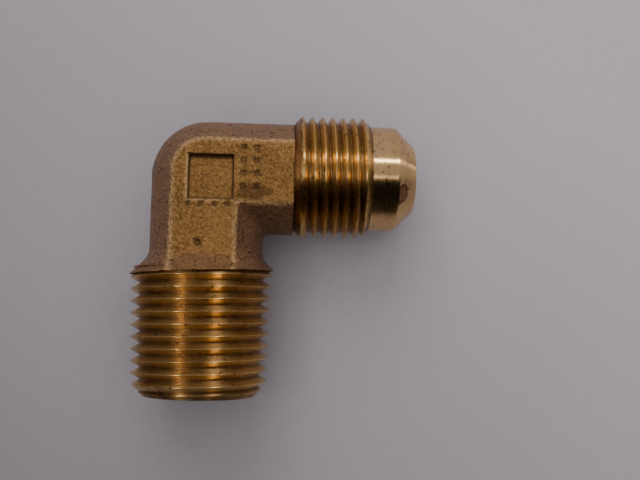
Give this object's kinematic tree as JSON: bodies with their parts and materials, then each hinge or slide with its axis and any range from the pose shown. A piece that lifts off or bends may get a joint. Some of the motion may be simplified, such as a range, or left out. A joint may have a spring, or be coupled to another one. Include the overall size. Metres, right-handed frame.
{
  "type": "flare to pipe elbow fitting",
  "caption": "Right-angle brass elbow fitting: tapered male pipe thread on one port, straight male thread with a conical flare seat on the other, joined by meeting bores.",
  "frame": {"origin": "point where the axes of the two bores cross, inside the elbow", "axes": "+X along the flare port's axis, out of the port; -Y along the pipe port's axis, out of the port; +Z square to both, out of the marked flat"},
  "size_m": [0.0435, 0.0438, 0.0222],
  "materials": {
    "forged_brass": "grit-blasted forging skin, dull gold with brown tarnish",
    "pipe_thread_brass": "turned amber brass with darkened roots",
    "flare_thread_brass": "turned satin brass",
    "polished_brass": "finely turned, nearly polished"
  },
  "bodies": {
    "root": {"forged_elbow": "forged_brass", "pipe_thread": "pipe_thread_brass", "flare_thread": "flare_thread_brass", "flare_nose": "polished_brass"}
  },
  "joints": []
}
